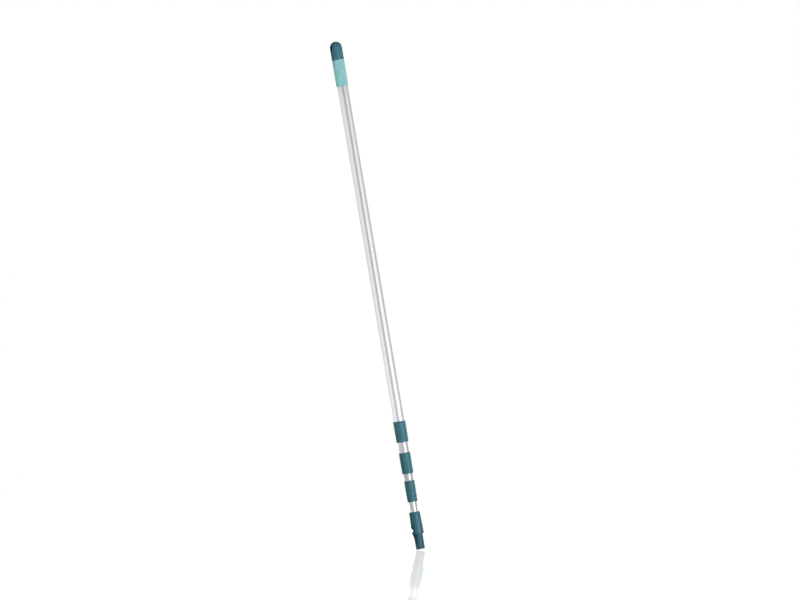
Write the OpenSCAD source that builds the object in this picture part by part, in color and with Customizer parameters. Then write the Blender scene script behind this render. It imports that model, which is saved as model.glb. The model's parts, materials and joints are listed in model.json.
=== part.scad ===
// Telescopic pole in four tubes, with twist-lock collars and a snap-in tool plug.
// The pole stands along Z with its lower end, the tip of the tool plug, at the origin.

/* [Tubes] */
// Outside diameter of the outer tube
tube_d = 30; // [28:0.5:31]
// Wall of every tube
tube_wall = 1; // [0.8:0.1:1.2]
// Gap between one tube and the next, on the radius
tube_gap = 0.5; // [0.4:0.05:0.7]
// Bare length of the outer tube, between the top collar and the grip
bare_len = 957; // [880:2:1100]
// Bare length of the second tube when the pole is closed
stub_2 = 30; // [24:1:40]
// Bare length of the third tube when the pole is closed
stub_3 = 20; // [18:1:30]
// Bare length of the fourth tube when the pole is closed
stub_4 = 29; // [22:1:34]
// How much less the second tube travels than the outer tube's bare length
travel_loss = 87; // [60:1:120]
// How much less each next tube travels than the one before it
travel_step = 20; // [16:1:40]

/* [Collars] */
// Height of each collar
collar_len = 60; // [56:1:70]
// Wall of the sleeve that holds the tube's lower end
sleeve_wall = 1; // [0.8:0.1:1.5]
// Wall of the twist nut
nut_wall = 1.4; // [1.2:0.1:2]
// Radius that the nut loses towards its lower end
nut_taper = 0.4; // [0.1:0.1:0.8]
// Rounding of the nut's lower edge
nut_round = 2; // [1:0.25:3]
// Height of the fixed rim above the nut
rim_h = 4; // [3:0.5:6]
// How far the rim stands out past the nut
rim_step = 0.4; // [0.2:0.1:1]
// Pitch of the collar thread
thread_pitch = 4; // [3.5:0.25:4.5]
// Depth of the collar thread
thread_depth = 0.75; // [0.6:0.05:0.9]
// Grip flutes round each nut
flutes = 16; // [8:1:24]
// Length of each flute
flute_len = 34; // [20:1:40]
// Width of each flute
flute_w = 2; // [1.5:0.1:3]
// Depth of each flute
flute_depth = 0.4; // [0.2:0.05:0.6]

/* [Clamp] */
// Height of the lip that carries the collet
lip_h = 4; // [3:0.5:5]
// Height of the collet's base
collet_base = 3; // [2:0.5:4]
// Height of the collet's cone
collet_cone = 9.5; // [8:0.5:12]
// Wall of the collet at the foot of its cone
collet_thick = 1.6; // [1.4:0.1:1.7]
// Wall of the collet at the top of its cone
collet_thin = 0.8; // [0.6:0.1:1]
// Height of the threaded stretch
thread_zone = 13; // [12:0.5:16]
// Width of the collet's slots
slot_w = 1.5; // [1:0.1:2]

/* [Guides] */
// Depth of each end plug in its tube
spigot_len = 20; // [16:1:24]
// Height of the guide ring
ring_len = 34; // [26:1:36]
// Wall of the guide ring
ring_wall = 2.2; // [1.8:0.1:2.4]
// Wall of the end plug
plug_wall = 2.2; // [1.6:0.1:2.6]
// Diameter of the cross pin
pin_d = 2.4; // [2:0.1:3]

/* [Grip and cap] */
// Length of the soft grip
grip_len = 76; // [50:1:140]
// Wall of the grip at its top
grip_wall = 2.3; // [2:0.1:4]
// Wall that the grip loses towards its lower end
grip_taper = 0.4; // [0:0.1:0.7]
// Height of the end cap above the tube
cap_len = 52; // [44:1:70]
// How far the end cap stands out past the tube, on the radius
cap_step = 2; // [1.5:0.25:4]
// Depth of the cap's spigot in the tube
cap_spigot = 25; // [15:1:40]
// Diameter of the hanging hole
hang_d = 12; // [8:0.5:12.5]
// Diameter of the hole's flared mouth
hang_mouth_d = 18; // [13:0.5:19]
// Turn of the hanging hole about the pole
hang_turn = 27; // [0:1:45]

/* [Tool plug] */
// Diameter of the tool plug
plug_d = 25.8; // [25.2:0.2:27]
// How much slimmer the plug's lead is, on the radius
lead_step = 0.2; // [0.1:0.05:0.4]
// Length of the tool plug up to the shoulder
plug_len = 43; // [40:1:50]
// Length of the sleeve above the shoulder
sleeve_len = 63; // [56:1:80]
// Diameter of the sleeve at the shoulder
shoulder_d = 34.4; // [33:0.2:36]
// Diameter of the sleeve at its top
sleeve_top_d = 31.2; // [29:0.2:32]
// Depth of the tube's end below the sleeve's top
tube_grip = 53; // [46:1:54]
// Height of the upper rivet below the sleeve's top
rivet_drop = 22; // [14:1:24]
// Distance between the two rivets
rivet_pitch = 22; // [18:1:23]
// Diameter of the rivets' heads
rivet_head_d = 5; // [4.5:0.25:7]
// Turn of the row of rivets about the pole
rivet_turn = 253.6; // [230:0.2:310]

/* [Latch] */
// Height of the latch's catch above the tip
catch_z = 50; // [49:0.5:51]
// Height of the foot of the latch's ramp above the tip
ramp_z = 31; // [29:0.5:33]
// Height of the latch's flat nose
nose_h = 5; // [3:0.5:7]
// How far the latch stands out from the pole's axis
nose_r = 16.2; // [15:0.1:16.5]
// Width of the latch
latch_w = 8; // [6:0.5:8.5]
// Height of the gap above the catch
catch_gap = 12; // [9:0.5:13]
// Travel of the latch
latch_travel = 4; // [3:0.25:4.5]
// Diameter of the spring's wire
wire_d = 0.7; // [0.5:0.1:0.9]
// Diameter of the spring
spring_d = 6; // [5:0.25:6.5]
// Turns of the spring
spring_turns = 6; // [4:0.5:8]

/* [Hidden] */
$fn = 96;

petrol = [0.24, 0.42, 0.47];
dark_petrol = [0.20, 0.37, 0.42];
turquoise = [0.55, 0.75, 0.76];
silver = [0.80, 0.81, 0.81];
nylon = [0.90, 0.90, 0.87];
steel = [0.62, 0.63, 0.64];

// Clearances, on the radius or along the axis
seat_fit = 0.05;     // between two pieces fixed together
run_fit = 0.05;      // between a clamp or guide and what it runs on
guide_play = 0.15;   // between a tube and the bore that steadies it
lip_play = 0.4;      // between a tube and the nut's lip
nut_play = 0.15;     // between the nut and the sleeve it turns on
rest_gap = 0.1;      // between two pieces that rest on each other
rim_gap = 0.6;       // between the closed nut and the rim
collet_gap = 0.9;    // between the collet's base and the lock body
collet_head = 0.4;   // above the collet's top in its seat
thread_play = 0.3;   // between a thread's crest and the other's root
stop_play = 0.5;     // left when a tube is drawn right out
latch_play = 0.3;    // round the latch in its window
post_play = 0.4;     // between the spring and its posts
cut = 1;             // by which a cutter passes a face

// Small forms
bevel = 0.8;
plug_flange = 2;
plug_head = 3.5;
thread_start = 2;
thread_turns = 2;
nut_turns = 1.25;
thread_crest = 0.7;
thread_steps = 30;
flank = tan(30);
wire_sides = 8;
wire_steps = 16;
lock_pin_rise = 12;
cross_pin_drop = 10;
pin_sink = 0.5;
slot_sink = 0.4;
lead_drop = 1.5;
seat_margin = 1;
ridge_root_sink = 0.2;

// Tubes are numbered from the outer one, 1, to the inner one, 4
function tube_r(n) = tube_d / 2 - (n - 1) * (tube_wall + tube_gap);
function tube_in(n) = tube_r(n) - tube_wall;

// Heights along the pole; collar k sits on the lower end of tube k
stubs = [stub_2, stub_3, stub_4];
adapter_top = plug_len + sleeve_len;
collet_foot = lip_h + rest_gap;
cone_foot = collet_foot + collet_base;
cone_top = cone_foot + collet_cone;
seat_rise = cone_top + collet_head + thread_zone;
nut_h = collar_len - rim_h - rim_gap;
function collar_z(k) = k == 3 ? adapter_top + stubs[2]
  : collar_z(k + 1) + collar_len + stubs[k - 1];
function seat_z(k) = collar_z(k) + seat_rise;
travel = bare_len - travel_loss;
grip_z = collar_z(1) + collar_len + bare_len;
cap_z = grip_z + grip_len;
function tube_foot(n) = n == 4 ? adapter_top - tube_grip : seat_z(n);
function tube_head(n) = n == 1 ? cap_z
  : seat_z(n - 1) + travel - (n - 2) * travel_step + stop_play - plug_flange;

// Radii of collar k
function body_r(k) = tube_r(k) + seat_fit + sleeve_wall;
function root_r(k) = body_r(k) - thread_depth;
function nut_bore(k) = body_r(k) + nut_play;
function nut_r(k) = nut_bore(k) + nut_wall;
function rim_r(k) = nut_r(k) + rim_step;
function cone_r(k, z) = tube_r(k + 1) + collet_thick
  - (collet_thick - collet_thin) * (z - cone_foot) / collet_cone;

// Points of a circular arc about [x, z], from one angle to another
function arc(x, z, r, from, to, steps = 6) =
  [for (i = [0 : steps]) let (a = from + (to - from) * i / steps) [x + r * cos(a), z + r * sin(a)]];

module revolve(points) {
  rotate_extrude() polygon(points);
}

// A section swept up a right-hand helix about Z; its points run anticlockwise in [radius, height]
module helix(section, z, pitch, turns, steps) {
  n = round(turns * steps);
  c = len(section);
  points = [for (i = [0 : n]) each [for (p = section)
    let (a = 360 * i / steps) [p[0] * cos(a), p[0] * sin(a), z + pitch * i / steps + p[1]]]];
  sides = [for (i = [0 : n - 1]) for (j = [0 : c - 1])
    let (a = c * i + j, b = c * i + (j + 1) % c) each [[a, b, a + c], [b, b + c, a + c]]];
  ends = [[for (j = [c - 1 : -1 : 0]) j], [for (j = [0 : c - 1]) c * n + j]];
  polyhedron(points, concat(sides, ends));
}

// ---- Tubes ----

module tube(n) {
  foot = tube_foot(n);
  head = tube_head(n);
  color(silver)
  difference() {
    translate([0, 0, foot]) cylinder(r = tube_r(n), h = head - foot);
    translate([0, 0, foot - cut]) cylinder(r = tube_in(n), h = head - foot + 2 * cut);
    if (n > 1) cross_hole(head - cross_pin_drop, tube_r(n) + cut);
    if (n < 4) cross_hole(foot + lock_pin_rise, tube_r(n) + cut);
    if (n == 4) rivet_holes();
  }
}

// Hole along Y for a cross pin or a pair of lock pins
module cross_hole(z, reach) {
  translate([0, 0, z]) rotate([90, 0, 0]) cylinder(d = pin_d + 2 * seat_fit, h = 2 * reach, center = true);
}

// ---- Guides at the upper end of tubes 2 to 4 ----

function ring_r(n) = tube_in(n - 1) - run_fit;
function core_r(n) = ring_r(n) - ring_wall - run_fit;
function plug_bore(n) = core_r(n) - plug_wall;

module tube_plug(n) {
  z = tube_head(n);
  groove_low = z + plug_flange;
  groove_high = groove_low + ring_len + 2 * rest_gap;
  spigot_r = tube_in(n) - seat_fit;
  color(nylon)
  difference() {
    revolve([
      [plug_bore(n), z - spigot_len],
      [spigot_r - bevel, z - spigot_len], [spigot_r, z - spigot_len + bevel],
      [spigot_r, z], [tube_r(n), z], [tube_r(n), groove_low],
      [core_r(n), groove_low], [core_r(n), groove_high],
      [tube_r(n), groove_high], [tube_r(n), groove_high + plug_head - bevel],
      [tube_r(n) - bevel, groove_high + plug_head],
      [plug_bore(n), groove_high + plug_head]
    ]);
    cross_hole(z - cross_pin_drop, tube_r(n));
  }
}

module plug_pin(n) {
  color(steel)
  translate([0, 0, tube_head(n) - cross_pin_drop]) rotate([90, 0, 0])
    cylinder(d = pin_d, h = 2 * (tube_r(n) - pin_sink), center = true);
}

// Split wear ring that turns on the plug and slides in the next tube
module guide_ring(n) {
  z = tube_head(n) + plug_flange + rest_gap;
  inner = ring_r(n) - ring_wall;
  color(nylon)
  difference() {
    revolve([
      [inner, z], [ring_r(n) - bevel, z], [ring_r(n), z + bevel],
      [ring_r(n), z + ring_len - bevel], [ring_r(n) - bevel, z + ring_len], [inner, z + ring_len]
    ]);
    translate([0, -slot_w / 2, z - cut]) cube([tube_d, slot_w, ring_len + 2 * cut]);
  }
}

// ---- Collars ----

// Fixed on the end of tube k: tube seat, thread, cone seat for the collet and the rim
module lock_body(k) {
  base = collar_z(k);
  seat = seat_z(k);
  body_foot = base + cone_foot + collet_gap;
  relief = seat - thread_zone;
  rim_z = base + collar_len - rim_h;
  rim_round = rim_h / 3;
  seat_cone_top = cone_top + collet_head;
  ridge_foot = root_r(k) - ridge_root_sink;
  ridge_half = thread_crest + (body_r(k) - ridge_foot) * flank;
  color(petrol)
  difference() {
    union() {
      revolve(concat(
        [
          [cone_r(k, cone_foot + collet_gap) + run_fit, body_foot],
          [body_r(k), body_foot], [body_r(k), relief],
          [root_r(k), relief], [root_r(k), seat - bevel],
          [body_r(k), seat - bevel], [body_r(k), rim_z]
        ],
        arc(rim_r(k) - rim_round, rim_z + rim_round, rim_round, -90, 0),
        arc(rim_r(k) - rim_round, rim_z + rim_h - rim_round, rim_round, 0, 90),
        [
          [tube_r(k) + seat_fit, rim_z + rim_h], [tube_r(k) + seat_fit, seat],
          [tube_r(k + 1) + guide_play, seat], [tube_r(k + 1) + guide_play, base + seat_cone_top],
          [cone_r(k, seat_cone_top) + run_fit, base + seat_cone_top]
        ]
      ));
      helix([
          [ridge_foot, -ridge_half], [body_r(k), -thread_crest],
          [body_r(k), thread_crest], [ridge_foot, ridge_half]
        ], relief + thread_start, thread_pitch, thread_turns, thread_steps);
    }
    cross_hole(seat + lock_pin_rise, rim_r(k));
  }
}

// Two short pins that hold the lock body on its tube, under the nut
module lock_pins(k) {
  inner = tube_in(k) + rest_gap;
  outer = body_r(k) - rest_gap;
  color(steel)
  for (side = [-90, 90])
    rotate([0, 0, side]) translate([inner, 0, seat_z(k) + lock_pin_rise])
      rotate([0, 90, 0]) cylinder(d = pin_d, h = outer - inner);
}

// Split clamping cone, carried by the nut's lip
module collet(k) {
  base = collar_z(k);
  inner = tube_r(k + 1) + run_fit;
  reach = nut_bore(k);
  color(nylon)
  difference() {
    revolve([
      [inner, base + collet_foot], [nut_bore(k) - lip_play, base + collet_foot],
      [nut_bore(k) - lip_play, base + cone_foot], [cone_r(k, cone_foot), base + cone_foot],
      [cone_r(k, cone_top), base + cone_top], [inner, base + cone_top]
    ]);
    translate([0, -slot_w / 2, base + collet_foot - cut]) cube([reach, slot_w, cone_top]);
    for (turn = [90 : 90 : 270])
      rotate([0, 0, turn]) translate([0, -slot_w / 2, base + cone_foot]) cube([reach, slot_w, cone_top]);
  }
}

// Nut that the hand turns; it draws the collet into the lock body's cone
module twist_nut(k) {
  base = collar_z(k);
  low_r = nut_r(k) - nut_taper;
  crest = root_r(k) + thread_play;
  ridge_root = nut_bore(k) + ridge_root_sink;
  thread_z = seat_z(k) - thread_zone + thread_start + thread_pitch / 2;
  color(dark_petrol)
  union() {
    difference() {
      revolve(concat(
        [[tube_r(k + 1) + lip_play, base]],
        arc(low_r - nut_round, base + nut_round, nut_round, -90, 0),
        arc(nut_r(k) - bevel, base + nut_h - bevel, bevel, 0, 90),
        [
          [nut_bore(k), base + nut_h], [nut_bore(k), base + lip_h],
          [tube_r(k + 1) + lip_play, base + lip_h]
        ]
      ));
      for (i = [0 : flutes - 1])
        rotate([0, 0, 360 * (i + 0.5) / flutes]) flute(k);
    }
    helix([
        [crest, -thread_crest],
        [ridge_root, -thread_crest - (ridge_root - crest) * flank],
        [ridge_root, thread_crest + (ridge_root - crest) * flank],
        [crest, thread_crest]
      ], thread_z, thread_pitch, nut_turns, thread_steps);
  }
}

// Shallow round-ended groove, tilted to follow the nut's taper
module flute(k) {
  r = (pow(flute_w / 2, 2) + pow(flute_depth, 2)) / (2 * flute_depth);
  lean = atan(nut_taper / (nut_h - nut_round));
  mid_r = nut_r(k) - nut_taper * (nut_h / 2) / (nut_h - nut_round);
  translate([mid_r - flute_depth + r, 0, collar_z(k) + nut_h / 2]) rotate([0, lean, 0]) {
    cylinder(r = r, h = flute_len - 2 * r, center = true);
    for (end = [-1, 1]) translate([0, 0, end * (flute_len / 2 - r)]) sphere(r = r);
  }
}

// ---- Grip and cap ----

module grip_sleeve() {
  round_low = 1.6;
  round_top = 0.5;
  top_r = tube_r(1) + grip_wall;
  low_r = top_r - grip_taper;
  bore = tube_r(1) + seat_fit;
  color(turquoise)
  revolve(concat(
    [[bore, grip_z]],
    arc(low_r - round_low, grip_z + round_low, round_low, -90, 0),
    arc(top_r - round_top, cap_z - round_top, round_top, 0, 90),
    [[bore, cap_z]]
  ));
}

module end_cap() {
  r = tube_r(1) + cap_step;
  top = cap_z + cap_len;
  spigot_r = tube_in(1) - seat_fit;
  hollow_r = spigot_r - plug_wall;
  hollow_top = top - r - hang_mouth_d;
  mouth_len = (hang_mouth_d - hang_d) / 2;
  color(petrol)
  difference() {
    union() {
      revolve([
        [0, cap_z], [r - bevel, cap_z], [r, cap_z + bevel], [r, top - r], [0, top - r]
      ]);
      translate([0, 0, top - r]) sphere(r = r);
      revolve([
        [0, cap_z - cap_spigot], [spigot_r - bevel, cap_z - cap_spigot],
        [spigot_r, cap_z - cap_spigot + bevel], [spigot_r, cap_z + cut], [0, cap_z + cut]
      ]);
    }
    translate([0, 0, cap_z - cap_spigot - cut])
      cylinder(r = hollow_r, h = hollow_top - cap_z + cap_spigot + cut);
    translate([0, 0, top - r]) rotate([0, 0, hang_turn]) {
      rotate([0, 90, 0]) cylinder(d = hang_d, h = 4 * r, center = true);
      for (side = [0, 180])
        rotate([0, 0, side]) translate([r - mouth_len, 0, 0]) rotate([0, 90, 0])
          cylinder(r1 = hang_d / 2, r2 = hang_mouth_d / 2 + mouth_len, h = 2 * mouth_len);
    }
  }
}

// ---- Tool adapter ----

plug_r = plug_d / 2;
lead_r = plug_r - lead_step;
lead_top = ramp_z - lead_drop;
shoulder_r = shoulder_d / 2;
sleeve_top_r = sleeve_top_d / 2;
cavity_r = tube_in(4) - rest_gap;
slot_face = plug_r - slot_sink;
flange_side = 1.2;
flange_end = 2.2;
flange_t = 1.3;
flange_half = latch_w / 2 + flange_side;
guide_face = sqrt(pow(cavity_r, 2) - pow(flange_half + lip_play, 2));
flange_back = guide_face - rest_gap - flange_t;
latch_mid = (catch_z + ramp_z) / 2;
post_r = (spring_d - 2 * wire_d) / 2 - post_play;
post_len = 2;
post_gap = 1.6;
seat_x = 5.5;
seat_post_len = flange_back + seat_x - post_len - latch_travel - post_gap;

// Radius of the sleeve's outside at a height above the tip
function sleeve_r(z) = shoulder_r - (shoulder_r - sleeve_top_r) * (z - plug_len) / sleeve_len;

module tool_adapter() {
  tip_bevel = 1.2;
  edge = 1.2;
  stop = tube_foot(4);
  color(petrol)
  difference() {
    union() {
      difference() {
        revolve(concat(
          [
            [0, 0], [lead_r - tip_bevel / 2, 0], [lead_r, tip_bevel],
            [lead_r, lead_top], [plug_r, lead_top + lead_step], [plug_r, plug_len]
          ],
          arc(shoulder_r - edge, plug_len + edge, edge, -90, 0),
          arc(sleeve_top_r - edge, adapter_top - edge, edge, 0, 90),
          [[0, adapter_top]]
        ));
        intersection() {
          translate([0, 0, -cut]) cylinder(r = cavity_r, h = stop + 2 * cut);
          translate([-guide_face, -cavity_r, -2 * cut]) cube([3 * cavity_r, 2 * cavity_r, stop + 4 * cut]);
        }
      }
      spring_seat();
    }
    translate([0, 0, stop]) cylinder(r = tube_r(4) + seat_fit, h = tube_grip + cut);
    latch_window();
    tongue_slot();
    rivet_holes();
    rivet_faces();
  }
}

// Wall across the plug's hollow that carries the spring, with its post
module spring_seat() {
  half = spring_d / 2 + seat_margin;
  intersection() {
    translate([seat_x, -half, latch_mid - half]) cube([plug_r, 2 * half, 2 * half]);
    cylinder(r = cavity_r + cut, h = adapter_top);
  }
  translate([seat_x - seat_post_len, 0, latch_mid]) rotate([0, 90, 0])
    cylinder(r = post_r, h = seat_post_len + cut);
}

module latch_window() {
  half = latch_w / 2 + latch_play;
  translate([-shoulder_r, -half, ramp_z - latch_play])
    cube([shoulder_r - guide_face + cut, 2 * half, catch_z - ramp_z + 2 * latch_play]);
}

// Flat way for the tool's catch, on the latch's side, with a sloping upper end
module tongue_slot() {
  top = catch_z + catch_gap;
  slope = 6;
  translate([0, shoulder_r, 0]) rotate([90, 0, 0]) linear_extrude(2 * shoulder_r)
    polygon([
      [-shoulder_r - cut, plug_len - cut], [-slot_face, plug_len - cut],
      [-slot_face, top - slope], [-sleeve_r(top), top], [-shoulder_r - cut, top]
    ]);
}

// ---- Rivets ----

rivet_r = 1.55;
rivet_sink = 0.6;
dome_h = 1;
pit_r = 0.8;
pit_depth = 0.5;
function rivet_z(i) = adapter_top - rivet_drop - i * rivet_pitch;

// Places its children at rivet i, with +X pointing outwards
module at_rivet(i) {
  translate([0, 0, rivet_z(i)]) rotate([0, 0, rivet_turn]) children();
}

module rivet_holes() {
  for (i = [0, 1]) at_rivet(i) rotate([0, 90, 0]) cylinder(r = rivet_r + seat_fit, h = shoulder_d);
}

module rivet_faces() {
  for (i = [0, 1]) at_rivet(i) translate([sleeve_r(rivet_z(i)) - rivet_sink, 0, 0])
    rotate([0, 90, 0]) cylinder(d = rivet_head_d + 2 * latch_play, h = shoulder_d);
}

// Blind rivets: a domed head with its mandrel's pit outside, a spread tail inside the tube
module adapter_rivets() {
  head_r = rivet_head_d / 2;
  dome_r = (pow(head_r, 2) + pow(dome_h, 2)) / (2 * dome_h);
  dome_side = asin(head_r / dome_r);
  pit_side = asin(pit_r / dome_r);
  tail_r = 2.2;
  tail_len = 1.4;
  tail_x = sqrt(pow(tube_in(4), 2) - pow(tail_r, 2)) - rest_gap;
  color(petrol)
  for (i = [0, 1]) {
    face = sleeve_r(rivet_z(i)) - rivet_sink;
    at_rivet(i) rotate([0, 90, 0]) revolve(concat(
      [
        [0, tail_x - tail_len], [tail_r, tail_x - tail_len], [tail_r, tail_x],
        [rivet_r, tail_x], [rivet_r, face]
      ],
      arc(0, face + dome_h - dome_r, dome_r, 90 - dome_side, 90 - pit_side),
      [[pit_r, face + dome_h - pit_depth], [0, face + dome_h - pit_depth]]
    ));
  }
}

// ---- Latch ----

// Push button with a sloping nose, a retaining flange and a post for the spring
module latch_button() {
  half = latch_w / 2;
  corner = 0.9;
  nose_round = 0.8;
  face = guide_face - rest_gap;
  color(dark_petrol)
  union() {
    intersection() {
      translate([0, half, 0]) rotate([90, 0, 0]) linear_extrude(latch_w)
        polygon(concat(
          [[-flange_back, catch_z]],
          arc(-nose_r + nose_round, catch_z - nose_round, nose_round, 90, 180),
          [
            [-nose_r, catch_z - nose_h], [-plug_r, ramp_z + cut], [-plug_r + cut, ramp_z],
            [-flange_back, ramp_z]
          ]
        ));
      linear_extrude(adapter_top) polygon([
        [-nose_r - cut, -half + corner], [-nose_r, -half + corner], [-nose_r + corner, -half],
        [0, -half], [0, half], [-nose_r + corner, half], [-nose_r, half - corner], [-nose_r - cut, half - corner]
      ]);
    }
    translate([-face, -flange_half, ramp_z - flange_end])
      cube([flange_t, 2 * flange_half, catch_z - ramp_z + 2 * flange_end]);
    translate([-flange_back - cut, 0, latch_mid]) rotate([0, 90, 0]) cylinder(r = post_r, h = post_len + cut);
  }
}

module latch_spring() {
  wire_r = wire_d / 2;
  length = flange_back + seat_x - 2 * rest_gap;
  pitch = (length - wire_d) / spring_turns;
  color(steel)
  translate([-flange_back + rest_gap, 0, latch_mid]) rotate([0, 90, 0])
    helix(arc(spring_d / 2 - wire_r, 0, wire_r, 0, 360 - 360 / wire_sides, wire_sides - 1),
      wire_r, pitch, spring_turns, wire_steps);
}

tube(1);  // tube_1
tube(2);  // tube_2
tube(3);  // tube_3
tube(4);  // tube_4
lock_body(1);  // lock_body_1
lock_body(2);  // lock_body_2
lock_body(3);  // lock_body_3
lock_pins(1);  // lock_pins_1
lock_pins(2);  // lock_pins_2
lock_pins(3);  // lock_pins_3
collet(1);  // collet_1
collet(2);  // collet_2
collet(3);  // collet_3
twist_nut(1);  // twist_nut_1
twist_nut(2);  // twist_nut_2
twist_nut(3);  // twist_nut_3
tube_plug(2);  // tube_plug_2
tube_plug(3);  // tube_plug_3
tube_plug(4);  // tube_plug_4
plug_pin(2);  // plug_pin_2
plug_pin(3);  // plug_pin_3
plug_pin(4);  // plug_pin_4
guide_ring(2);  // guide_ring_2
guide_ring(3);  // guide_ring_3
guide_ring(4);  // guide_ring_4
grip_sleeve();
end_cap();
tool_adapter();
adapter_rivets();
latch_button();
latch_spring();
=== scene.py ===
import json
import math

import bmesh
import bpy
from mathutils import Matrix, Vector

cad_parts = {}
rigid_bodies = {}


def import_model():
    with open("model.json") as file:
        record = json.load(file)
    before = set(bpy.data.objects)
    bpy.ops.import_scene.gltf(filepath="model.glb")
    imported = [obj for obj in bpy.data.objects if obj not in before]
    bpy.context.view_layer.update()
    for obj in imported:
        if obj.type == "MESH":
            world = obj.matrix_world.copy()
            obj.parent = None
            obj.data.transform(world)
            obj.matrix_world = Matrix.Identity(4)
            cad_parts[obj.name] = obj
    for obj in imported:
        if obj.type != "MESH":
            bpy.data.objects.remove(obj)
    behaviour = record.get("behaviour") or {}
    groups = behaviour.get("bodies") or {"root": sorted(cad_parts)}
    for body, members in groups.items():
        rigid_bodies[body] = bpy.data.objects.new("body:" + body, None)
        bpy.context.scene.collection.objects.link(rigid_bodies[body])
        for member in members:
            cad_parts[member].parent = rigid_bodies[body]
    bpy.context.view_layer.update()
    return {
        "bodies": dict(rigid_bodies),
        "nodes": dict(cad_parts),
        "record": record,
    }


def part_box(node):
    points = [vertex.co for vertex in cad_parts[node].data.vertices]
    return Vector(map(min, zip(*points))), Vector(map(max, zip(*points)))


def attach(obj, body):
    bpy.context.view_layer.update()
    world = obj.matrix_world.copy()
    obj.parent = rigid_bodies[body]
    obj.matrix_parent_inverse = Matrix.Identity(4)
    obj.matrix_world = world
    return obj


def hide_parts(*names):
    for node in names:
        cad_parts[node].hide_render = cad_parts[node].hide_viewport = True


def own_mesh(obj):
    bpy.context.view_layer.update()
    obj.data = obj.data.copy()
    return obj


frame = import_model()
nodes = frame["nodes"]
scene = bpy.context.scene
mm = 0.001
print("frame:", len(nodes), "CAD nodes")


# camera on a long lens, with the pole leaning in its frame
view = {
    "lens": 200, "sensor": 36,               # mm
    "distance": 12.53,                       # m, far off, so the pole shows with no perspective
    "target": (0.0596, 0, 0.7015),
    "lean": 9.596,                           # degrees that the pole leans, top to the left
    "clipEnd": 100,                          # m
}

camera = bpy.data.objects.new("camera", bpy.data.cameras.new("camera"))
scene.collection.objects.link(camera)
camera.data.lens = view["lens"]
camera.data.sensor_width = view["sensor"]
camera.data.clip_end = view["clipEnd"]
leanSin, leanCos = math.sin(math.radians(view["lean"])), math.cos(math.radians(view["lean"]))
leaning = Matrix(((leanCos, leanSin, 0), (0, 0, -1), (-leanSin, leanCos, 0))).to_4x4()
standing = Matrix.Translation(Vector(view["target"]) - Vector((0, view["distance"], 0)))
camera.matrix_world = standing @ leaning
scene.camera = camera
scene.view_settings.view_transform = "Standard"


def linear(hexColour):
    parts = [int(hexColour[i:i + 2], 16) / 255 for i in (0, 2, 4)]
    return [c / 12.92 if c <= 0.04045 else ((c + 0.055) / 1.055) ** 2.4 for c in parts] + [1]


def perMetre(size):
    return 1 / (size * mm)                   # pattern scale from the real size of one cell, in mm


def addNode(tree, kind, settings=None, links=None):
    made = tree.nodes.new(kind)
    for key, value in (settings or {}).items():
        if isinstance(key, int) or key in made.inputs:
            made.inputs[key].default_value = value
        else:
            setattr(made, key, value)
    for key, source in (links or {}).items():
        tree.links.new(source, made.inputs[key])
    return made


def newMaterial(name):
    material = bpy.data.materials.new(name)
    material.use_nodes = True
    material.node_tree.nodes.clear()
    return material, material.node_tree


noiseLow, noiseHigh = 0.3, 0.7               # nearly all of a noise lies between these

# drawn and clear anodised tube: pale, satin, with fine lines along it and faint rub rings round it
anodised = {
    "light": "e9eaeb", "dark": "d6d8da",
    "lineWidth": 0.9, "lineLength": 260,     # real lines are 0.1 mm, drawn coarser to show
    "ringHeight": 1.2, "ringSpread": 45,
    "rubFrom": 0.56, "rubTo": 0.8, "rubWeight": 0.35,
    "roughLow": 0.24, "roughHigh": 0.40, "roughest": 0.9,
    "bumpHeight": 0.012, "bump": 0.5,
}


def anodisedAluminium(name, shadeTone=1.0):
    material, tree = newMaterial(name)
    place = addNode(tree, "ShaderNodeTexCoord")
    across, length = perMetre(anodised["lineWidth"]), perMetre(anodised["lineLength"])
    along = addNode(tree, "ShaderNodeMapping", {"Scale": (across, across, length)},
                    {"Vector": place.outputs["Object"]})
    lines = addNode(tree, "ShaderNodeTexNoise", {"Scale": 1, "Detail": 4, "Roughness": 0.6},
                    {"Vector": along.outputs["Vector"]})
    spread, height = perMetre(anodised["ringSpread"]), perMetre(anodised["ringHeight"])
    around = addNode(tree, "ShaderNodeMapping", {"Scale": (spread, spread, height)},
                     {"Vector": place.outputs["Object"]})
    rings = addNode(tree, "ShaderNodeTexNoise", {"Scale": 1, "Detail": 3, "Roughness": 0.7},
                    {"Vector": around.outputs["Vector"]})
    rubRingsOrShadeMask = addNode(tree, "ShaderNodeMapRange", {
        "From Min": anodised["rubFrom"], "From Max": anodised["rubTo"]}, {"Value": rings.outputs["Fac"]})
    both = addNode(tree, "ShaderNodeMath", {"operation": "MULTIPLY_ADD", 1: anodised["rubWeight"]},
                   {0: rubRingsOrShadeMask.outputs["Result"], 2: lines.outputs["Fac"]})
    rough = addNode(tree, "ShaderNodeMapRange", {
        "From Min": noiseLow, "From Max": anodised["roughest"],
        "To Min": anodised["roughLow"], "To Max": anodised["roughHigh"]}, {"Value": both.outputs["Value"]})
    # the colour is scaled by the tone, which gives the inner tubes a darker copy of this finish as painted
    # shade
    colour = addNode(tree, "ShaderNodeValToRGB", links={"Fac": lines.outputs["Fac"]})
    colour.color_ramp.elements[0].position = noiseLow
    colour.color_ramp.elements[0].color = [c * shadeTone for c in linear(anodised["dark"])[:3]] + [1]
    colour.color_ramp.elements[1].position = noiseHigh
    colour.color_ramp.elements[1].color = [c * shadeTone for c in linear(anodised["light"])[:3]] + [1]
    bump = addNode(tree, "ShaderNodeBump", {
        "Strength": anodised["bump"], "Distance": anodised["bumpHeight"] * mm},
        {"Height": lines.outputs["Fac"]})
    surface = addNode(tree, "ShaderNodeBsdfPrincipled", {"Metallic": 1}, {
        "Base Color": colour.outputs["Color"], "Roughness": rough.outputs["Result"],
        "Normal": bump.outputs["Normal"]})
    addNode(tree, "ShaderNodeOutputMaterial", links={"Surface": surface.outputs["BSDF"]})
    return material


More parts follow.
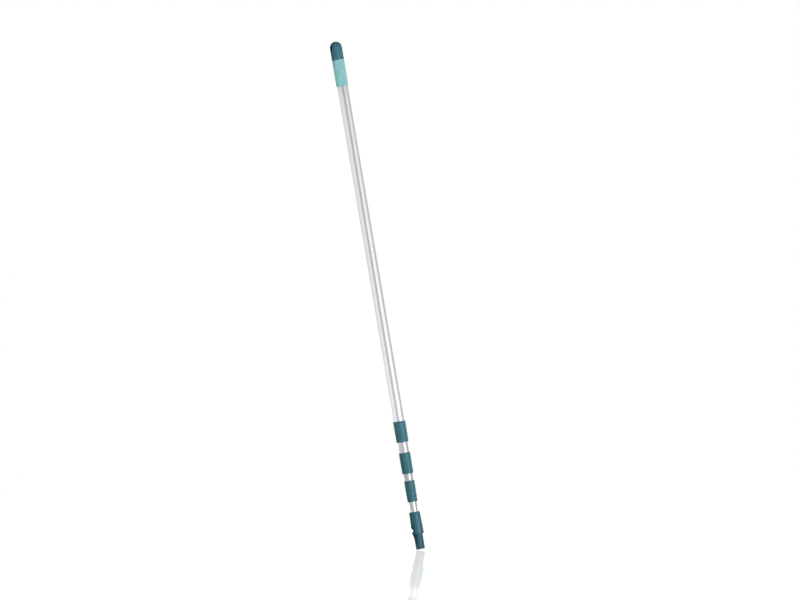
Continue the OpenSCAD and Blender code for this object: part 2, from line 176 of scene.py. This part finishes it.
# moulded polypropylene: satin, with a fine spark-eroded grain and soft flow clouds in the colour
polypropylene = {
    "grain": 0.45, "grainHeight": 0.03,      # mm
    "bump": 0.6,
    "cloud": 14, "cloudDepth": 0.10,
    "roughLow": 0.31, "roughHigh": 0.44,
    "ior": 1.49,
    "shadeFade": 1.5,                          # mm over which the painted shade fades out at its upper edge
    "shadeStreakWidth": 0.8, "shadeStreakLength": 30,
    "shadeDeepest": 0.351, "shadeFaintest": 0.189,     # share of the colour that the painted shade takes, at its deepest and faintest
}


def mouldedPolypropylene(name, hexColour, paintedShadeBelow=None, smoother=0, specular=0.65):
    material, tree = newMaterial(name)
    place = addNode(tree, "ShaderNodeTexCoord")
    grain = addNode(tree, "ShaderNodeTexNoise", {
        "Scale": perMetre(polypropylene["grain"]), "Detail": 3, "Roughness": 0.55},
        {"Vector": place.outputs["Object"]})
    cloud = addNode(tree, "ShaderNodeTexNoise", {
        "Scale": perMetre(polypropylene["cloud"]), "Detail": 4, "Roughness": 0.5, "Distortion": 0.6},
        {"Vector": place.outputs["Object"]})
    base = linear(hexColour)
    colour = addNode(tree, "ShaderNodeValToRGB", links={"Fac": cloud.outputs["Fac"]})
    for element, position, sign in zip(colour.color_ramp.elements, (noiseLow, noiseHigh), (-1, 1)):
        element.position = position
        element.color = [c * (1 + sign * polypropylene["cloudDepth"]) for c in base[:3]] + [1]
    paint = colour.outputs["Color"]
    if paintedShadeBelow:
        # painted shade: the colour is darkened below the given height, in streaks along the pole
        spot = addNode(tree, "ShaderNodeSeparateXYZ", links={"Vector": place.outputs["Object"]})
        rubRingsOrShadeMask = addNode(tree, "ShaderNodeMapRange", {
            "From Min": paintedShadeBelow * mm, "From Max": (paintedShadeBelow - polypropylene["shadeFade"]) * mm},
            {"Value": spot.outputs["Z"]})
        across, length = perMetre(polypropylene["shadeStreakWidth"]), perMetre(polypropylene["shadeStreakLength"])
        along = addNode(tree, "ShaderNodeMapping", {"Scale": (across, across, length)},
                        {"Vector": place.outputs["Object"]})
        shadeStreaks = addNode(tree, "ShaderNodeTexNoise", {"Scale": 1, "Detail": 4},
                         {"Vector": along.outputs["Vector"]})
        depth = addNode(tree, "ShaderNodeMapRange", {
            "From Min": noiseLow, "From Max": noiseHigh,
            "To Min": -polypropylene["shadeDeepest"], "To Max": -polypropylene["shadeFaintest"]},
            {"Value": shadeStreaks.outputs["Fac"]})
        shadeTone = addNode(tree, "ShaderNodeMath", {"operation": "MULTIPLY_ADD", 2: 1.0}, {
            0: rubRingsOrShadeMask.outputs["Result"], 1: depth.outputs["Result"]})
        shadedPaint = addNode(tree, "ShaderNodeVectorMath", {"operation": "SCALE"}, {
            0: colour.outputs["Color"], "Scale": shadeTone.outputs["Value"]})
        paint = shadedPaint.outputs["Vector"]
    rough = addNode(tree, "ShaderNodeMapRange", {
        "From Min": noiseLow, "From Max": noiseHigh,
        "To Min": polypropylene["roughLow"] - smoother, "To Max": polypropylene["roughHigh"] - smoother},
        {"Value": grain.outputs["Fac"]})
    bump = addNode(tree, "ShaderNodeBump", {
        "Strength": polypropylene["bump"], "Distance": polypropylene["grainHeight"] * mm},
        {"Height": grain.outputs["Fac"]})
    surface = addNode(tree, "ShaderNodeBsdfPrincipled", {
        "IOR": polypropylene["ior"], "Specular IOR Level": specular}, {
        "Base Color": paint, "Roughness": rough.outputs["Result"], "Normal": bump.outputs["Normal"]})
    addNode(tree, "ShaderNodeOutputMaterial", links={"Surface": surface.outputs["BSDF"]})
    return material


# soft TPE over the tube: matt, a little velvety at its edges, with a dull handled bloom
softTpe = {
    "light": "84b8b9", "dark": "7cb0b1",
    "grain": 0.3, "grainHeight": 0.04, "bump": 0.5,
    "bloom": 9,
    "roughLow": 0.55, "roughHigh": 0.7,
    "sheen": 0.3, "sheenRough": 0.5, "ior": 1.5,
    "depth": 3, "through": 0.5, "reach": (1, 0.9, 0.9),      # light travels a little way through it
}


def softThermoplastic(name):
    material, tree = newMaterial(name)
    place = addNode(tree, "ShaderNodeTexCoord")
    grain = addNode(tree, "ShaderNodeTexVoronoi", {"Scale": perMetre(softTpe["grain"])},
                    {"Vector": place.outputs["Object"]})
    bloom = addNode(tree, "ShaderNodeTexNoise", {"Scale": perMetre(softTpe["bloom"]), "Detail": 5},
                    {"Vector": place.outputs["Object"]})
    colour = addNode(tree, "ShaderNodeValToRGB", links={"Fac": bloom.outputs["Fac"]})
    colour.color_ramp.elements[0].position = noiseLow
    colour.color_ramp.elements[0].color = linear(softTpe["dark"])
    colour.color_ramp.elements[1].position = noiseHigh
    colour.color_ramp.elements[1].color = linear(softTpe["light"])
    rough = addNode(tree, "ShaderNodeMapRange", {
        "From Min": noiseLow, "From Max": noiseHigh,
        "To Min": softTpe["roughLow"], "To Max": softTpe["roughHigh"]}, {"Value": bloom.outputs["Fac"]})
    bump = addNode(tree, "ShaderNodeBump", {
        "Strength": softTpe["bump"], "Distance": softTpe["grainHeight"] * mm},
        {"Height": grain.outputs["Distance"]})
    surface = addNode(tree, "ShaderNodeBsdfPrincipled", {
        "IOR": softTpe["ior"], "Sheen Weight": softTpe["sheen"], "Sheen Roughness": softTpe["sheenRough"],
        "Subsurface Weight": softTpe["through"], "Subsurface Radius": softTpe["reach"],
        "Subsurface Scale": softTpe["depth"] * mm}, {
        "Base Color": colour.outputs["Color"], "Roughness": rough.outputs["Result"],
        "Normal": bump.outputs["Normal"]})
    addNode(tree, "ShaderNodeOutputMaterial", links={"Surface": surface.outputs["BSDF"]})
    return material


# natural nylon: milky and waxy, light passes a little way into it
nylon = {
    "light": "eae8de", "dark": "dedbcf", "cloud": 6,
    "rough": 0.42, "ior": 1.53,
    "depth": 0.8, "through": 0.15, "reach": (1, 0.9, 0.7),
    "bumpHeight": 0.03, "bump": 0.3,
}


def naturalNylon(name):
    material, tree = newMaterial(name)
    place = addNode(tree, "ShaderNodeTexCoord")
    cloud = addNode(tree, "ShaderNodeTexNoise", {"Scale": perMetre(nylon["cloud"]), "Detail": 4},
                    {"Vector": place.outputs["Object"]})
    colour = addNode(tree, "ShaderNodeValToRGB", links={"Fac": cloud.outputs["Fac"]})
    colour.color_ramp.elements[0].color = linear(nylon["dark"])
    colour.color_ramp.elements[1].color = linear(nylon["light"])
    bump = addNode(tree, "ShaderNodeBump", {
        "Strength": nylon["bump"], "Distance": nylon["bumpHeight"] * mm}, {"Height": cloud.outputs["Fac"]})
    surface = addNode(tree, "ShaderNodeBsdfPrincipled", {
        "IOR": nylon["ior"], "Roughness": nylon["rough"], "Subsurface Weight": nylon["through"],
        "Subsurface Radius": nylon["reach"], "Subsurface Scale": nylon["depth"] * mm}, {
        "Base Color": colour.outputs["Color"], "Normal": bump.outputs["Normal"]})
    addNode(tree, "ShaderNodeOutputMaterial", links={"Surface": surface.outputs["BSDF"]})
    return material


# zinc-plated steel: bright, with its gloss blurred by the crystals of the zinc
zinc = {
    "colour": "b9bbbd", "grain": 0.6,
    "roughLow": 0.22, "roughHigh": 0.38,
    "bumpHeight": 0.01, "bump": 0.3,
}


def zincPlatedSteel(name):
    material, tree = newMaterial(name)
    place = addNode(tree, "ShaderNodeTexCoord")
    grain = addNode(tree, "ShaderNodeTexNoise", {"Scale": perMetre(zinc["grain"]), "Detail": 5},
                    {"Vector": place.outputs["Object"]})
    rough = addNode(tree, "ShaderNodeMapRange", {
        "From Min": noiseLow, "From Max": noiseHigh,
        "To Min": zinc["roughLow"], "To Max": zinc["roughHigh"]}, {"Value": grain.outputs["Fac"]})
    bump = addNode(tree, "ShaderNodeBump", {
        "Strength": zinc["bump"], "Distance": zinc["bumpHeight"] * mm}, {"Height": grain.outputs["Fac"]})
    surface = addNode(tree, "ShaderNodeBsdfPrincipled", {
        "Metallic": 1, "Base Color": linear(zinc["colour"])}, {
        "Roughness": rough.outputs["Result"], "Normal": bump.outputs["Normal"]})
    addNode(tree, "ShaderNodeOutputMaterial", links={"Surface": surface.outputs["BSDF"]})
    return material


# lacquered rivet: a smooth baked coat, a little worn where the setting tool pressed it
lacquer = {
    "colour": "2b6374", "worn": "5f8b97",
    "patch": 0.9, "wornFrom": 0.55, "wornTo": 0.75,
    "roughLow": 0.12, "roughHigh": 0.26, "ior": 1.5,
}


def lacqueredRivet(name):
    material, tree = newMaterial(name)
    place = addNode(tree, "ShaderNodeTexCoord")
    patch = addNode(tree, "ShaderNodeTexNoise", {"Scale": perMetre(lacquer["patch"]), "Detail": 4},
                    {"Vector": place.outputs["Object"]})
    colour = addNode(tree, "ShaderNodeValToRGB", links={"Fac": patch.outputs["Fac"]})
    colour.color_ramp.elements[0].position = lacquer["wornFrom"]
    colour.color_ramp.elements[0].color = linear(lacquer["colour"])
    colour.color_ramp.elements[1].position = lacquer["wornTo"]
    colour.color_ramp.elements[1].color = linear(lacquer["worn"])
    rough = addNode(tree, "ShaderNodeMapRange", {
        "From Min": noiseLow, "From Max": noiseHigh,
        "To Min": lacquer["roughLow"], "To Max": lacquer["roughHigh"]}, {"Value": patch.outputs["Fac"]})
    surface = addNode(tree, "ShaderNodeBsdfPrincipled", {"IOR": lacquer["ior"]}, {
        "Base Color": colour.outputs["Color"], "Roughness": rough.outputs["Result"]})
    addNode(tree, "ShaderNodeOutputMaterial", links={"Surface": surface.outputs["BSDF"]})
    return material


finishes = {
    "tube_metal": anodisedAluminium("clearAnodisedAluminium"),
    "petrol_plastic": mouldedPolypropylene("petrolPolypropylene", "2e626f"),
    "nut_plastic": mouldedPolypropylene("petrolPolypropyleneNut", "265f6b", specular=0.55),
    "soft_grip": softThermoplastic("turquoiseSoftTpe"),
    "nylon": naturalNylon("naturalNylon"),
    "steel": zincPlatedSteel("zincPlatedSteel"),
    "lacquered_rivet": lacqueredRivet("petrolLacquer"),
}
slotOf = {part["node"]: part["material_slot"] for part in frame["record"]["subparts"]}
for nodeName, piece in nodes.items():
    for slot in piece.material_slots:
        slot.material = finishes[slotOf[nodeName]]
# the adapter is smooth from handling; as painted shade at the foot of the pole, its colour is a darker copy
# of the petrol plastic, darkened further in streaks up to the shoulder at 43 mm
ownFinish = {
    "tool_adapter": mouldedPolypropylene(
        "petrolPolypropyleneShadedFoot", "265e69", paintedShadeBelow=43, smoother=0.1, specular=0.42),
}
# the inner tubes take a darker copy of the tube's finish, as painted shade for the dimmer light on the
# lower tubes
innerShadeTone = 0.88
shadedInnerTube = anodisedAluminium("clearAnodisedAluminiumShaded", innerShadeTone)
for nodeName in ("tube_2", "tube_3", "tube_4"):
    ownFinish[nodeName] = shadedInnerTube
for nodeName, finish in ownFinish.items():
    for slot in nodes[nodeName].material_slots:
        slot.material = finish
print("materials:", len(bpy.data.materials))


def addPiece(name, build, body, slot):
    mesh = bpy.data.meshes.new(name)
    build.normal_update()
    build.to_mesh(mesh)
    build.free()
    mesh.materials.append(finishes[slot])
    for face in mesh.polygons:
        face.use_smooth = True
    piece = bpy.data.objects.new(name, mesh)
    scene.collection.objects.link(piece)
    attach(piece, body)
    return piece


def ringGrid(build, rings, closed=True):
    # rings of equal length joined into a skin; closed joins the last ring to the first
    made = [[build.verts.new(p) for p in ring] for ring in rings]
    count = len(made[0])
    last = len(made) if closed else len(made) - 1
    for i in range(last):
        near, far = made[i], made[(i + 1) % len(made)]
        for j in range(count):
            k = (j + 1) % count
            build.faces.new((near[j], near[k], far[k], far[j]))
    return made


# soft grip: round-lipped sleeve with shallow flutes for the hand
grip = {
    "bore": 15.05,
    "lowRound": 1.6, "topRound": 0.7, "roundSteps": 6,
    "taper": 0.4,                            # mm of radius that it narrows towards its lower end
    "flutes": 30, "fluteDepth": 0.35, "fluteInset": 8, "fluteFade": 5,
    "steps": 8, "rows": 44,
}


def smooth(x):
    x = min(max(x, 0), 1)
    return x * x * (3 - 2 * x)


def makeGrip():
    low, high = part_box("grip_sleeve")
    bottom, top = low.z / mm, high.z / mm
    topR = high.x / mm
    lowR = topR - grip["taper"]
    lowRound, topRound = grip["lowRound"], grip["topRound"]
    straight = top - bottom - lowRound - topRound
    profile = [(grip["bore"], bottom)]
    for i in range(grip["roundSteps"] + 1):
        a = math.radians(90 * i / grip["roundSteps"] - 90)
        profile.append((lowR - lowRound * (1 - math.cos(a)), bottom + lowRound * (1 + math.sin(a))))
    for i in range(1, grip["rows"]):
        t = i / grip["rows"]
        profile.append((lowR + (topR - lowR) * t, bottom + lowRound + straight * t))
    for i in range(grip["roundSteps"] + 1):
        a = math.radians(90 * i / grip["roundSteps"])
        profile.append((topR - topRound * (1 - math.cos(a)), top - topRound * (1 - math.sin(a))))
    profile.append((grip["bore"], top))
    around = grip["flutes"] * grip["steps"]
    build = bmesh.new()
    rings = []
    for i in range(around):
        turn = 2 * math.pi * i / around
        wave = 0.5 - 0.5 * math.cos(turn * grip["flutes"])
        ring = []
        for r, z in profile:
            inset = min(z - bottom, top - z) - grip["fluteInset"]
            depth = grip["fluteDepth"] * wave * smooth(inset / grip["fluteFade"]) if r > grip["bore"] else 0
            ring.append(((r - depth) * mm * math.cos(turn), (r - depth) * mm * math.sin(turn), z * mm))
        rings.append(ring)
    ringGrid(build, rings)
    sleeve = addPiece("softGrip", build, "outer", "soft_grip")
    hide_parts("grip_sleeve")


makeGrip()
print("grip made")


def turnedAbout(turn, r, side, z):
    # a point at radius r and distance side to its left, with the radius turned about the pole
    a = math.radians(turn)
    return Vector((r * math.cos(a) - side * math.sin(a), r * math.sin(a) + side * math.cos(a), z)) * mm


# parting lines of the moulds: up the cap and over its dome, and along the adapter's sleeve
parting = {
    "width": 0.35, "height": 0.1,            # mm
    # side and rise, as shares of the width and height, with its feet sunk
    "section": ((-1, -0.5), (-0.35, 0.85), (0, 1), (0.35, 0.85), (1, -0.5)),
}
capLine = {"turns": (117, 297), "foot": 1.2, "domeTop": 80, "steps": 14}
adapterLine = {
    "turns": (90, 270), "steps": 6,
    "shoulderZ": 43, "shoulderR": 17.2, "topR": 15.6, "inset": 1.6,
}


def addRidge(build, turn, path):
    # fine raised line along a path of (r, z, lean of the surface's normal above level, in degrees)
    width, height = parting["width"], parting["height"]
    rows = []
    for r, z, lean in path:
        a = math.radians(lean)
        row = []
        for side, rise in parting["section"]:
            row.append(build.verts.new(turnedAbout(
                turn, r + rise * height * math.cos(a), side * width / 2, z + rise * height * math.sin(a))))
        rows.append(row)
    for low, high in zip(rows, rows[1:]):
        for j in range(len(low) - 1):
            build.faces.new((low[j], low[j + 1], high[j + 1], high[j]))
    build.faces.new(rows[0][::-1])
    build.faces.new(rows[-1])


def sleeveRadius(z):
    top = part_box("tool_adapter")[1].z / mm
    t = (z - adapterLine["shoulderZ"]) / (top - adapterLine["shoulderZ"])
    return adapterLine["shoulderR"] + (adapterLine["topR"] - adapterLine["shoulderR"]) * t


def makePartingLines():
    low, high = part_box("end_cap")
    r = high.x / mm
    domeZ = high.z / mm - r
    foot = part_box("grip_sleeve")[1].z / mm + capLine["foot"]
    path = [(r, foot, 0)]
    for i in range(capLine["steps"] + 1):
        a = capLine["domeTop"] * i / capLine["steps"]
        path.append((r * math.cos(math.radians(a)), domeZ + r * math.sin(math.radians(a)), a))
    build = bmesh.new()
    for turn in capLine["turns"]:
        addRidge(build, turn, path)
    addPiece("capPartingLines", build, "outer", "petrol_plastic")
    first = adapterLine["shoulderZ"] + adapterLine["inset"]
    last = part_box("tool_adapter")[1].z / mm - adapterLine["inset"]
    path = []
    for i in range(adapterLine["steps"] + 1):
        z = first + (last - first) * i / adapterLine["steps"]
        path.append((sleeveRadius(z), z, 0))
    build = bmesh.new()
    for turn in adapterLine["turns"]:
        addRidge(build, turn, path)
    addPiece("adapterPartingLines", build, "section_4", "petrol_plastic")


# thumb ribs across the latch's nose
ribs = {
    "heights": (45.9, 47.2, 48.5), "faceX": -16.2, "sink": 0.05,
    "length": 5.6, "radius": 0.28, "steps": 8,
    "ends": ((-1, 0.3), (-0.86, 1), (0.86, 1), (1, 0.3)),    # place along it and thickness there
}


def makeThumbRibs():
    build = bmesh.new()
    for z in ribs["heights"]:
        rings = []
        for i in range(ribs["steps"] + 1):
            a = math.pi * i / ribs["steps"]
            # each rib is half round, thinner at its ends
            ring = []
            for end, thick in ribs["ends"]:
                ring.append(build.verts.new(Vector((
                    ribs["faceX"] + (ribs["sink"] - ribs["radius"] * thick * math.sin(a)),
                    end * ribs["length"] / 2,
                    z + ribs["radius"] * thick * math.cos(a))) * mm))
            rings.append(ring)
        for near, far in zip(rings, rings[1:]):
            for j in range(len(near) - 1):
                build.faces.new((near[j], far[j], far[j + 1], near[j + 1]))
    addPiece("latchThumbRibs", build, "latch", "nut_plastic")


# spring behind the latch: closed coils at its ends
spring = {"wire": 0.7, "turns": 7, "endTurns": 1, "sides": 10, "steps": 24}


def makeSpring():
    low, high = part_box("latch_spring")
    wire = spring["wire"] * mm
    middle = (low.z + high.z) / 2
    coilR = (high.z - low.z - wire) / 2
    first, last = low.x + wire / 2, high.x - wire / 2
    ends = spring["endTurns"]
    openTurns = spring["turns"] - 2 * ends
    openPitch = (last - first - 2 * ends * wire) / openTurns
    build = bmesh.new()
    rings = []
    for i in range(spring["turns"] * spring["steps"] + 1):
        t = i / spring["steps"]
        closed = wire * min(t, ends) + wire * max(t - ends - openTurns, 0)
        x = first + closed + openPitch * min(max(t - ends, 0), openTurns)
        turn = 2 * math.pi * t
        ring = []
        for j in range(spring["sides"]):
            a = 2 * math.pi * j / spring["sides"]
            r = coilR + wire / 2 * math.cos(a)
            ring.append((x + wire / 2 * math.sin(a), r * math.sin(turn), middle + r * math.cos(turn)))
        rings.append(ring)
    made = ringGrid(build, rings, closed=False)
    build.faces.new(made[0][::-1])
    build.faces.new(made[-1])
    bmesh.ops.recalc_face_normals(build, faces=build.faces)
    coil = addPiece("latchSpring", build, "section_4", "steel")
    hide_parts("latch_spring")
    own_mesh(coil)


# broken-off ends of the rivets' mandrels, down in the pits of the heads
mandrel = {
    "turn": 253.6, "heights": (84, 62),
    "below": 0.1, "rise": 0.22, "sides": 14,
    "rings": ((0.72, 0), (0.72, 0.6), (0.45, 0.8), (0.2, 1)),    # radius and share of the rise
    "torn": 0.25,
}


def makeMandrels():
    build = bmesh.new()
    a = math.radians(mandrel["turn"])
    out, side = Vector((math.cos(a), math.sin(a), 0)), Vector((-math.sin(a), math.cos(a), 0))
    for z in mandrel["heights"]:
        base = sleeveRadius(z) - mandrel["below"]
        # a torn face: a low ring, a wavy rim and a small flat peak
        rings = []
        for r, rise in mandrel["rings"]:
            ring = []
            for i in range(mandrel["sides"]):
                t = 2 * math.pi * i / mandrel["sides"]
                lift = rise * (1 + mandrel["torn"] * math.sin(3 * t)) if rise < 1 else 1
                ring.append(build.verts.new(
                    (out * (base + mandrel["rise"] * lift) + side * r * math.cos(t)
                     + Vector((0, 0, z + r * math.sin(t)))) * mm))
            rings.append(ring)
        for near, far in zip(rings, rings[1:]):
            for j in range(mandrel["sides"]):
                k = (j + 1) % mandrel["sides"]
                build.faces.new((near[j], near[k], far[k], far[j]))
        build.faces.new(rings[-1])
    addPiece("rivetMandrels", build, "section_4", "steel")


makePartingLines()
makeThumbRibs()
makeSpring()
makeMandrels()
print("trim made")


# pale studio: the floor, the world and what they share
studio = {
    "plain": 0.45,                           # level of the plain light all round
    "floorAlbedo": 0.25, "floorVary": 0.01, "floorCloud": 3,
    "floorGlow": 0.9,
    "floorRadius": 4, "floorDrop": 1.0,      # m, mm
    "floorSides": 120,
    "tipRadius": 12.1,                       # mm, of the flat end that the pole stands on
    "aimHeight": 0.7,                        # m, where the lamps point
    "cardColumns": 12, "cardRows": 8,
    "white": "ffffff",
}
# the pole leans to its floor, and a narrow polished strip of the floor mirrors it
mirror = {
    "stretch": 72, "reach": 3.6, "shift": -0.012,
    "near": 0.38, "far": 0.42, "fadeFrom": 0.82, "rough": 0.04,
    "glanceFrom": 0.88, "glanceTo": 0.93,
}
# big soft lamps: turn about the pole from the camera's side in degrees, plus to the right, the rest in m
lamps = {
    "keyLamp": {"turn": 29, "height": 0.6, "distance": 2.6, "size": (1.0, 2.2), "watts": 80},
    "fillLamp": {"turn": -68, "height": 1.2, "distance": 2.8, "size": (1.2, 0.8), "watts": 30},
    "backLamp": {"turn": 165, "height": 0.75, "distance": 2.8, "size": (1.0, 1.3), "watts": 45},
    "backLeftLamp": {"turn": 215, "height": 0.75, "distance": 2.8, "size": (0.8, 1.3), "watts": 35},
}
# cards round the pole, seen in gloss alone, or holding off diffuse light alone where they are shade:
# turns at the lower edge, how far the upper edge is turned on (lean), radius and heights in m
cards = {
    "roomCard": {"turns": (-57, -23), "lean": 64, "radius": 2.4, "heights": (-0.6, 2.2), "grey": "a7aaad"},
    "keyCard": {"turns": (29, 57), "radius": 2.5, "heights": (-1.2, 1.05), "grey": "ffffff", "level": 1.6},
    "rightFlag": {"turns": (88, 165), "radius": 2.4, "heights": (-1.2, 5.2), "grey": "d2d5d7"},
    "leftFlag": {"turns": (-150, -110), "radius": 2.4, "heights": (-1.2, 5.2), "grey": "e4e6e8"},
    "lowCard": {"turns": (-150, -22), "radius": 0.5, "heights": (-0.3, 0.27), "grey": "bcc0c4"},
    "lowShade": {"turns": (-120, -45), "radius": 0.5, "heights": (0.11, 0.56), "grey": "404448",
                 "shade": True},
    "lowRight": {"turns": (66, 165), "radius": 0.45, "heights": (-0.05, 0.27), "grey": "bec1c4"},
    "collarKey": {"turns": (40, 60), "radius": 0.6, "heights": (0.3, 0.37), "grey": "ffffff", "level": 5.5},
    "sleeveKey": {"turns": (30, 48), "radius": 0.6, "heights": (0.055, 0.112), "grey": "ffffff",
                  "level": 7},
    "footCard": {"turns": (-138, -42), "radius": 0.09, "heights": (-0.03, 0.07), "grey": "3c4044"},
    "footShade": {"turns": (-120, -32), "radius": 0.12, "heights": (0.03, 0.13), "grey": "202428",
                  "shade": True},
    "plugShade": {"turns": (-115, -20), "radius": 0.03, "heights": (0.006, 0.04), "grey": "181c20",
                  "shade": True},
    "capCard": {"turns": (-150, 100), "radius": 0.35, "heights": (1.36, 1.75), "grey": "aeb2b6",
                "beside": "outer"},
    "capShade": {"turns": (105, 255), "radius": 0.12, "heights": (1.39, 1.75), "grey": "2c3034",
                 "beside": "outer"},
    "domeCard": {"turns": (45, 300), "radius": 0.11, "heights": (1.5, 1.9), "grey": "202428",
                 "beside": "outer"},
    "capDusk": {"turns": (240, 306), "radius": 0.12, "heights": (1.394, 1.85), "grey": "282c30",
                "shade": True, "beside": "outer"},
    "capHood": {"turns": (75, 240), "radius": 0.12, "heights": (1.445, 1.85), "grey": "282c30",
                "shade": True, "beside": "outer"},
}


def turned(turn, distance, height):
    a = math.radians(turn)
    return Vector((distance * math.sin(a), -distance * math.cos(a), height))


def onlyFor(item, *kinds):
    for kind in ("camera", "diffuse", "glossy", "transmission", "volume_scatter", "shadow"):
        setattr(item, "visible_" + kind, kind in kinds)


def addMesh(name, build, material):
    mesh = bpy.data.meshes.new(name)
    build.to_mesh(mesh)
    build.free()
    mesh.materials.append(material)
    item = bpy.data.objects.new(name, mesh)
    scene.collection.objects.link(item)
    return item


def seenDirectly(tree):
    # 1 for rays from the camera, in gloss or through clear matter, 0 for diffuse light
    rays = addNode(tree, "ShaderNodeLightPath")
    two = addNode(tree, "ShaderNodeMath", {"operation": "ADD"}, {
        0: rays.outputs["Is Camera Ray"], 1: rays.outputs["Is Glossy Ray"]})
    three = addNode(tree, "ShaderNodeMath", {"operation": "ADD", "use_clamp": True}, {
        0: two.outputs["Value"], 1: rays.outputs["Is Transmission Ray"]})
    return three.outputs["Value"]


def makeWorld():
    world = bpy.data.worlds.new("studio")
    scene.world = world
    world.use_nodes = True
    tree = world.node_tree
    tree.nodes.clear()
    white = linear(studio["white"])
    plain = addNode(tree, "ShaderNodeBackground", {"Color": white, "Strength": studio["plain"]})
    bright = addNode(tree, "ShaderNodeBackground", {"Color": white, "Strength": 1})
    mix = addNode(tree, "ShaderNodeMixShader", links={
        0: seenDirectly(tree), 1: plain.outputs["Background"], 2: bright.outputs["Background"]})
    addNode(tree, "ShaderNodeOutputWorld", links={"Surface": mix.outputs["Shader"]})


def makeFloor():
    material, tree = newMaterial("whiteGlossFloor")
    place = addNode(tree, "ShaderNodeTexCoord")
    cloud = addNode(tree, "ShaderNodeTexNoise", {"Scale": studio["floorCloud"], "Detail": 2},
                    {"Vector": place.outputs["Object"]})
    level = addNode(tree, "ShaderNodeMapRange", {
        "To Min": studio["floorAlbedo"] - studio["floorVary"],
        "To Max": studio["floorAlbedo"] + studio["floorVary"]}, {"Value": cloud.outputs["Fac"]})
    paint = addNode(tree, "ShaderNodeBsdfDiffuse", links={"Color": level.outputs["Result"]})
    glow = addNode(tree, "ShaderNodeMath", {"operation": "MULTIPLY", 1: studio["floorGlow"]},
                   {0: seenDirectly(tree)})
    shine = addNode(tree, "ShaderNodeEmission", {"Color": linear(studio["white"])},
                    {"Strength": glow.outputs["Value"]})
    both = addNode(tree, "ShaderNodeAddShader", links={
        0: paint.outputs["BSDF"], 1: shine.outputs["Emission"]})
    # the mirror is a long narrow oval before the pole, because the camera looks along the floor
    across = mirror["stretch"] / mirror["reach"]
    oval = addNode(tree, "ShaderNodeMapping", {
        "Location": (-mirror["shift"] * across, 0, 0), "Scale": (across, 1 / mirror["reach"], 0)},
        {"Vector": place.outputs["Object"]})
    away = addNode(tree, "ShaderNodeVectorMath", {"operation": "LENGTH"}, {0: oval.outputs["Vector"]})
    amount = addNode(tree, "ShaderNodeValToRGB", links={"Fac": away.outputs["Value"]})
    ramp = amount.color_ramp.elements
    ramp[0].color = [mirror["near"]] * 3 + [1]
    ramp[1].color = (0, 0, 0, 1)
    ramp.new(mirror["fadeFrom"]).color = [mirror["far"]] * 3 + [1]
    # as on waxed boards, the polish shows only at a glancing look
    facing = addNode(tree, "ShaderNodeLayerWeight", {"Blend": 0.5})
    glance = addNode(tree, "ShaderNodeMapRange", {
        "From Min": mirror["glanceFrom"], "From Max": mirror["glanceTo"]},
        {"Value": facing.outputs["Facing"]})
    polish = addNode(tree, "ShaderNodeMath", {"operation": "MULTIPLY"}, {
        0: amount.outputs["Color"], 1: glance.outputs["Result"]})
    gloss = addNode(tree, "ShaderNodeBsdfAnisotropic", {
        "Color": linear(studio["white"]), "Roughness": mirror["rough"]})
    polished = addNode(tree, "ShaderNodeMixShader", links={
        0: polish.outputs["Value"], 1: both.outputs["Shader"], 2: gloss.outputs["BSDF"]})
    clear = addNode(tree, "ShaderNodeBsdfTransparent")
    side = addNode(tree, "ShaderNodeNewGeometry")
    # from underneath the floor isn't there, so a low view still sees the pole
    mix = addNode(tree, "ShaderNodeMixShader", links={
        0: side.outputs["Backfacing"], 1: polished.outputs["Shader"], 2: clear.outputs["BSDF"]})
    addNode(tree, "ShaderNodeOutputMaterial", links={"Surface": mix.outputs["Shader"]})
    build = bmesh.new()
    step = 360 / studio["floorSides"]
    build.faces.new([build.verts.new(turned(step * i, studio["floorRadius"], 0))
                     for i in range(studio["floorSides"])])
    build.normal_update()
    floor = addMesh("floor", build, material)
    drop = (studio["tipRadius"] * leanSin + studio["floorDrop"]) * mm
    floor.rotation_euler = (0, math.radians(view["lean"]), 0)
    floor.location = (-drop * leanSin, 0, -drop * leanCos)


def makeCards():
    for name, card in cards.items():
        material, tree = newMaterial(name)
        glow = addNode(tree, "ShaderNodeEmission", {
            "Color": linear(card["grey"]), "Strength": card.get("level", 1)})
        addNode(tree, "ShaderNodeOutputMaterial", links={"Surface": glow.outputs["Emission"]})
        build = bmesh.new()
        first, last = card["turns"]
        low, high = card["heights"]
        across, up = studio["cardColumns"], studio["cardRows"]
        columns = []
        for i in range(across + 1):
            column = []
            for j in range(up + 1):
                turn = first + (last - first) * i / across + card.get("lean", 0) * j / up
                column.append(build.verts.new(turned(turn, card["radius"], low + (high - low) * j / up)))
            columns.append(column)
        for a, b in zip(columns, columns[1:]):
            for j in range(up):
                build.faces.new((a[j], b[j], b[j + 1], a[j + 1]))
        item = addMesh(name, build, material)
        onlyFor(item, *(("diffuse", "shadow") if card.get("shade") else ("glossy",)))
        if card.get("beside"):
            # it goes along with the cap when the pole is drawn out, and doesn't turn with it
            along = item.constraints.new("COPY_LOCATION")
            along.target = frame["bodies"][card["beside"]]


def makeLamps():
    for name, lamp in lamps.items():
        light = bpy.data.lights.new(name, "AREA")
        light.shape = "RECTANGLE"
        light.size, light.size_y = lamp["size"]
        light.energy = lamp["watts"]
        item = bpy.data.objects.new(name, light)
        scene.collection.objects.link(item)
        item.location = turned(lamp["turn"], lamp["distance"], lamp["height"])
        aim = Vector((0, 0, studio["aimHeight"])) - item.location
        item.rotation_mode = "QUATERNION"
        item.rotation_quaternion = aim.to_track_quat("-Z", "Y")
        onlyFor(item, "diffuse", "shadow")


makeWorld()
makeFloor()
makeCards()
makeLamps()
print("studio made")
